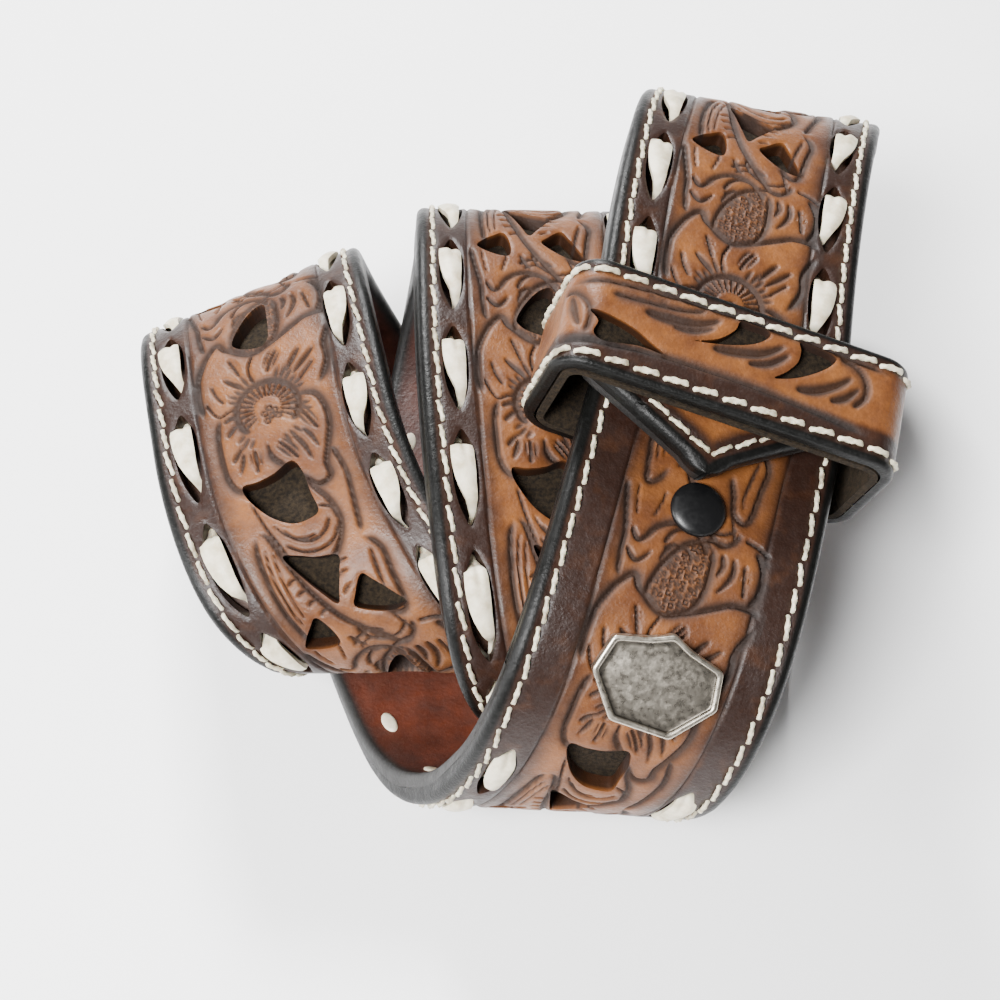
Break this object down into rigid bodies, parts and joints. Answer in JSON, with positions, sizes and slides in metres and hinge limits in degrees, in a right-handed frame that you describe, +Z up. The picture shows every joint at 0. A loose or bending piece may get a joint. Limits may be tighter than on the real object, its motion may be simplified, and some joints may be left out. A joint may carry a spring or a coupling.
{
  "type": "western tooled leather belt",
  "caption": "Loosely rolled western belt of tooled and pierced leather with buckstitch lacing, a suede inlay, a leather keeper, a snap and a small silver plate.",
  "frame": {"origin": "middle of the footprint, on the surface the belt rests on", "axes": "+Z up, away from the surface; +X across the passes, from the left pass to the buckle and tip passes; +Y from the front bends to the rear bends"},
  "size_m": [0.122, 0.1178, 0.0733],
  "materials": {
    "leather_face": "tooled and burnished brown leather with darker edges",
    "leather_lining": "smooth reddish brown lining leather",
    "dark_suede": "dark brown suede",
    "cream_lace": "cream rawhide lace",
    "keeper_leather": "tooled and burnished brown leather with black edges",
    "keeper_suede": "dark brown suede",
    "black_snap": "black enamelled snap",
    "antique_silver": "antiqued silver plate"
  },
  "bodies": {
    "root": {"strap_face": "leather_face", "strap_lining": "leather_lining", "strap_inlay": "dark_suede", "left_lace": "cream_lace", "right_lace": "cream_lace", "keeper_face": "keeper_leather", "keeper_lining": "keeper_suede", "snap_cap": "black_snap", "concho_plate": "antique_silver"}
  },
  "joints": []
}
